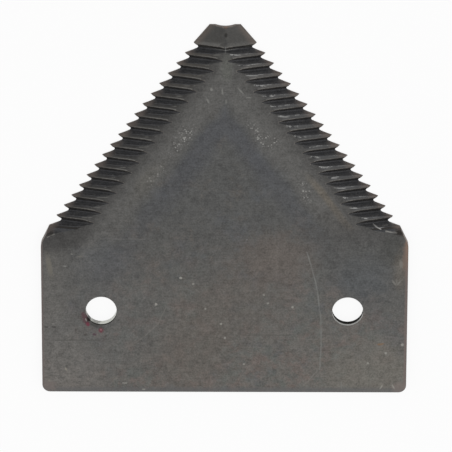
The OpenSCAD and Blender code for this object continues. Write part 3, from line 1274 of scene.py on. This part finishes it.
for name, start, end, width, tint, strength in SCRATCHES:
    mask = place_group(
        tree, scratch, "Mask", name,
        point=flat_point, start=(*start, 0.0), end=(*end, 0.0), width=width,
    )
    colour = coat(colour, both(mask, broken), screen_colour(*tint), strength)
print("straight scratches", len(SCRATCHES))

# %% [markdown]
# Rims and worn edges.
# A punch pulls the edge of the plate down a little before it cuts, and this rolled-over rim shows as a
# brownish line along both sides and a grey one along the base. It is too shallow to model, so it is
# a coat that fades in from the edge. The tiny rounds made earlier are rubbed bright.

# %% The rolled-over rim along the sides and the base
PLATE_SIDE = plate_high[0] / MM
PLATE_BASE = plate_low[1] / MM
RIGHT_RIM = (PLATE_SIDE - 0.75, PLATE_SIDE - 0.35)
LEFT_RIM = (-PLATE_SIDE + 0.5, -PLATE_SIDE + 0.25)
BASE_RIM = (PLATE_BASE + 1.5, PLATE_BASE + 0.6)

right_rim = both(ramp(tree, point_x, *RIGHT_RIM), upper)
left_rim = both(ramp(tree, point_x, *LEFT_RIM), upper)
base_rim = both(ramp(tree, point_y, *BASE_RIM), upper)
colour = coat(colour, base_rim, screen_colour(94, 94, 95), strength=0.6)
colour = coat(colour, right_rim, screen_colour(112, 100, 96), strength=0.75)
colour = coat(colour, left_rim, screen_colour(110, 98, 95), strength=0.6)
report("rims")

# %% Worn edges
EDGE_DULL = screen_colour(90, 86, 82)
EDGE_BRIGHT = screen_colour(132, 127, 121)

edge_colour = blend_colour(tree, rub, EDGE_DULL, EDGE_BRIGHT)
colour = coat(colour, mark_mask("worn_edge"), edge_colour, strength=0.8)
report("worn edges")

# %% [markdown]
# The bores.
# A punched hole has a bright burnished wall where the punch slid. Each bore here also has a dark ring,
# at its top in the left bore and lower down in the right one. Both
# are sheared sides already, so an oval mask over each hole picks out just its wall, and the dark
# part is made rough too, because a shiny black would mirror the white paper.

# %% A bright wall and a dark ring in each bore
HOLE_X = 25.4
BORE_REACH = 3.6
BORE_SOFT = 0.05
DARK_BORE = screen_colour(30, 29, 24)
# Each bore: name, place, tint of the wall, heights over which the dark ring comes in
BORES = (
    ("left_bore", -HOLE_X, (206, 207, 200), (1.5, 1.7)),
    ("right_bore", HOLE_X, (162, 162, 159), (1.4, 1.2)),
)

sheared = mark_mask("sheared_side")
dark_bores = 0.0
for name, hole_x, tint, dark_heights in BORES:
    bore = both(place_stain(name, (hole_x, 0.0), (BORE_REACH, BORE_REACH), soft=BORE_SOFT), sheared)
    colour = coat(colour, bore, screen_colour(*tint))
    dark_ring = both(bore, ramp(tree, point_z, *dark_heights))
    colour = coat(colour, dark_ring, DARK_BORE)
    dark_bores = calculate(tree, "ADD", dark_bores, dark_ring)
print("bores", len(BORES))

# %% [markdown]
# Small marks.
# The last coats are what the eye finds on a second look. They are the same soft ovals as the stains,
# only small, and a finer noise frays them. They could be scattered at random, but the eye knows the
# red paint beside the hole and the nick in the head, so each has its own place. One helper lays a
# whole list of them.

# %% A helper that lays a list of small marks
MARK_SOFT = 0.45


def lay_marks(colour, marks):
    """Lays marks on the upper face, each a name, centre, half lengths, turn, tint and strength."""
    for name, centre, size, turn, tint, strength in marks:
        mask = place_stain(name, centre, size, turn, MARK_SOFT, fine_ragged)
        colour = coat(colour, both(mask, upper), screen_colour(*tint), strength)
    report(str(len(marks)) + " marks")
    return colour


report("mark helper")

# %% Shade and rust at the shoulders and the corners
CORNER_MARKS = (
    ("shade_at_left_shoulder", (-35.8, 17.4), (0.75, 0.4), 0.43, (54, 52, 50), 0.9),
    ("shade_at_right_shoulder", (35.8, 17.7), (0.8, 0.35), -0.3, (54, 52, 50), 0.9),
    ("rust_at_right_shoulder", (37.4, 14.3), (0.3, 2.6), 0.0, (128, 106, 92), 0.7),
    ("pale_base_corner_left", (-36.4, -17.4), (1.5, 1.2), 0.0, (118, 109, 105), 0.6),
    ("pale_base_corner_right", (36.4, -17.4), (1.5, 1.2), 0.0, (118, 109, 105), 0.6),
)

colour = lay_marks(colour, CORNER_MARKS)

# %% [markdown]
# Beside the left hole.
# The blade once had some red paint on it, and most of that has worn away. What is left sits in a chip at
# the rim of the left hole and in a few drops below it. A drop of paint could be a tiny mesh of its own,
# but it is thinner than a hair, so it is only colour here, with a paler glint on the largest drop.

# %% Paint, a chip and dark dots beside the left hole
PAINT_RED = (86, 56, 62)
HOLE_MARKS = (
    ("left_hole_shade", (-26.7, -3.2), (1.9, 0.5), -0.4, (56, 55, 53), 0.6),
    ("paint_by_left_hole", (-28.6, -1.8), (0.65, 1.5), 0.35, PAINT_RED, 0.75),
    ("paint_by_left_hole", (-28.1, -3.0), (0.42, 0.4), 0.0, (112, 54, 68), 0.8),
    ("paint_dot", (-25.5, -4.5), (0.46, 0.55), 0.0, (104, 60, 68), 0.9),
    ("paint_dot_glint", (-25.5, -4.35), (0.17, 0.22), 0.0, (152, 114, 118), 0.8),
    ("small_paint_dot", (-26.8, -5.4), (0.4, 0.27), 0.0, (82, 62, 70), 0.85),
    ("dark_dot", (-28.8, -5.5), (0.36, 0.22), 0.0, (72, 69, 66), 0.75),
    ("dark_dot", (-30.7, -4.4), (0.24, 0.3), 0.0, (72, 69, 66), 0.7),
    ("dark_dot", (-24.5, -5.7), (0.26, 0.2), 0.0, (74, 71, 68), 0.7),
    ("hole_chip", (-27.95, -1.9), (0.46, 0.52), 0.4, (26, 24, 22), 0.95),
    ("hole_chip_rim", (-28.5, -1.95), (0.16, 0.36), 0.4, (136, 132, 128), 0.8),
    ("pink_smear", (-22.4, -5.3), (0.8, 0.4), 0.0, (104, 94, 91), 0.45),
)

colour = lay_marks(colour, HOLE_MARKS)

# %% [markdown]
# Along the edges.
# The two straight sides are where a blade rubs against its neighbour on the bar and in the box. They
# have short scuffs, a few dark dashes and a breath of orange rust. A scuff that crosses another is
# two thin ovals turned against each other.

# %% Scuffs, dashes and rust along the edges
EDGE_MARKS = (
    ("orange_streak", (32.2, -7.4), (0.7, 0.2), 0.1, (122, 98, 76), 0.7),
    ("dark_dash", (-35.2, -3.7), (0.4, 0.14), 0.0, (50, 48, 47), 0.8),
    ("dark_dash_at_edge", (-36.8, -3.7), (0.4, 0.14), 0.0, (55, 53, 51), 0.8),
    ("light_tick", (-35.4, -3.0), (0.3, 0.12), 0.0, (130, 128, 124), 0.8),
    ("bright_left_edge", (-36.0, 10.3), (0.55, 2.6), 0.2, (114, 110, 101), 0.6),
    ("pale_right_edge", (36.3, 10.9), (0.4, 0.8), 0.0, (122, 118, 112), 0.7),
    ("scuff_right_edge", (34.9, 6.7), (0.2, 0.8), 0.55, (122, 120, 115), 0.65),
    ("scuff_right_edge", (35.9, 6.6), (0.2, 0.7), -0.7, (122, 120, 115), 0.65),
    ("scuff_right_edge", (35.4, 6.9), (0.16, 0.6), 0.0, (116, 114, 109), 0.5),
    ("orange_right_rim", (37.2, 12.4), (0.6, 3.6), 0.0, (118, 101, 91), 0.6),
)

colour = lay_marks(colour, EDGE_MARKS)

# %% [markdown]
# The head and the flat below it.
# The blunt head has a dark nick in its ridge and a speck of rust in its hollow, and the flat below it
# carries a few short pale ticks from handling. They are the same thin ovals once more.

# %% A nick, a glint and pale ticks near the tip
TICK_PALE = (126, 126, 122)
TIP_MARKS = (
    ("head_nick", (0.2, 61.8), (0.3, 0.55), 0.0, (42, 41, 39), 0.85),
    ("head_rust", (0.2, 63.3), (0.4, 0.2), 0.0, (108, 86, 72), 0.7),
    ("ridge_glint", (0.0, 58.5), (0.13, 0.6), 0.0, (126, 126, 124), 0.75),
    ("tip_scratch", (-2.7, 49.9), (0.26, 0.34), 0.5, TICK_PALE, 0.8),
    ("tip_scratch", (-0.5, 49.5), (0.18, 0.66), 0.15, TICK_PALE, 0.65),
    ("tip_scratch", (-3.5, 47.4), (0.17, 0.66), 0.4, TICK_PALE, 0.6),
    ("tip_scratch", (3.2, 49.6), (0.18, 0.66), 0.7, TICK_PALE, 0.65),
    ("tip_scratch", (4.7, 48.1), (0.5, 0.14), 0.0, TICK_PALE, 0.6),
    ("tip_scratch", (0.3, 47.3), (0.17, 0.6), 0.0, TICK_PALE, 0.45),
)

colour = lay_marks(colour, TIP_MARKS)

# %% [markdown]
# Pale specks.
# Here and there a grain of dust or a tiny dent catches the light. The dust made earlier falls at
# random; these are the few that are large enough to be told apart, so they are placed one by one.

# %% Pale specks on the flat face
SPECK_PALE = (146, 144, 138)
PALE_SPECKS = (
    ("speck", (-9.0, 7.6), (0.3, 0.24), 0.0, SPECK_PALE, 0.9),
    ("speck", (-14.1, 1.6), (0.26, 0.3), 0.0, SPECK_PALE, 0.9),
    ("speck", (-6.5, 6.2), (0.22, 0.2), 0.0, SPECK_PALE, 0.7),
    ("speck", (-4.0, 0.5), (0.22, 0.22), 0.0, SPECK_PALE, 0.7),
    ("speck", (-0.7, -2.9), (0.26, 0.22), 0.0, SPECK_PALE, 0.8),
    ("speck", (0.1, -6.1), (0.26, 0.26), 0.0, SPECK_PALE, 0.8),
    ("speck", (-32.8, -13.4), (0.17, 0.5), 0.45, (140, 136, 126), 0.8),
    ("speck", (-20.6, -16.6), (0.45, 0.2), 0.0, SPECK_PALE, 0.65),
    ("speck", (14.1, 1.0), (0.24, 0.24), 0.0, SPECK_PALE, 0.8),
    ("speck", (8.1, 3.8), (0.24, 0.2), 0.0, SPECK_PALE, 0.7),
    ("speck", (9.0, 1.9), (0.2, 0.2), 0.0, SPECK_PALE, 0.7),
    ("speck", (4.1, -12.1), (0.24, 0.2), 0.0, SPECK_PALE, 0.7),
    ("speck", (33.4, -9.5), (0.24, 0.24), 0.0, SPECK_PALE, 0.8),
    ("speck", (29.7, -11.8), (0.24, 0.2), 0.0, SPECK_PALE, 0.8),
    ("speck", (36.8, -7.6), (0.3, 0.36), 0.0, SPECK_PALE, 0.85),
    ("speck", (-16.6, -18.0), (0.36, 0.2), 0.0, SPECK_PALE, 0.7),
    ("speck", (-36.3, -16.1), (0.24, 0.3), 0.0, (132, 126, 116), 0.7),
    ("speck", (32.5, -17.4), (0.15, 0.5), -0.5, SPECK_PALE, 0.65),
    ("speck", (35.0, -17.2), (0.15, 0.55), 0.4, SPECK_PALE, 0.6),
    ("speck", (24.3, -16.9), (0.14, 0.8), 0.0, (122, 121, 118), 0.5),
    ("speck", (-32.7, 10.2), (0.4, 0.16), 0.0, (130, 130, 126), 0.7),
    ("speck", (-31.3, 13.0), (0.2, 0.2), 0.0, (124, 123, 118), 0.6),
    ("speck", (-29.6, 12.4), (0.5, 0.2), 0.0, (112, 110, 104), 0.6),
)

colour = lay_marks(colour, PALE_SPECKS)

# %% [markdown]
# Shine.
# Oiled steel of this kind is a metal with a soft, uneven gloss. A plain roughness would look like
# plastic, so grain and streaks also vary the roughness, and a very low bump gives the surface its
# tooth. The metal share stays under one, for the film of oil and oxide on top.

# %% Uneven roughness
MIDDLE_ROUGHNESS = 0.42
GRAIN_ROUGHNESS = 0.2
STREAK_ROUGHNESS = 0.16
DARK_BORE_ROUGHNESS = 0.5

grain_part = around_zero(medium, GRAIN_ROUGHNESS)
streak_part = around_zero(long_streaks, STREAK_ROUGHNESS)
roughness = calculate(tree, "ADD", grain_part, streak_part)
roughness = calculate(tree, "ADD", roughness, MIDDLE_ROUGHNESS)
roughness = calculate(tree, "ADD", roughness, both(dark_bores, DARK_BORE_ROUGHNESS), clamp=True)
report("roughness")

# %% Low relief
GRAIN_RELIEF = 1.0
STREAK_RELIEF = 0.6
BUMP_STRENGTH = 0.25
BUMP_HEIGHT = 0.02 * MM

relief = calculate(tree, "ADD", around_zero(fine, GRAIN_RELIEF), around_zero(long_streaks, STREAK_RELIEF))
bump = add_node(tree, "ShaderNodeBump")
bump.inputs["Strength"].default_value = BUMP_STRENGTH
bump.inputs["Distance"].default_value = BUMP_HEIGHT
feed(tree, relief, bump.inputs["Height"])
report("relief")

# %% Join colour, roughness and relief in one shader
METAL_SHARE = 0.8

shader = add_node(tree, "ShaderNodeBsdfPrincipled")
feed(tree, colour, shader.inputs["Base Color"])
feed(tree, roughness, shader.inputs["Roughness"])
feed(tree, bump.outputs["Normal"], shader.inputs["Normal"])
shader.inputs["Metallic"].default_value = METAL_SHARE
steel_out = add_node(tree, "ShaderNodeOutputMaterial")
tree.links.new(shader.outputs[0], steel_out.inputs["Surface"])
plate_mesh.materials.append(steel)
print("steel", len(tree.nodes), "nodes")
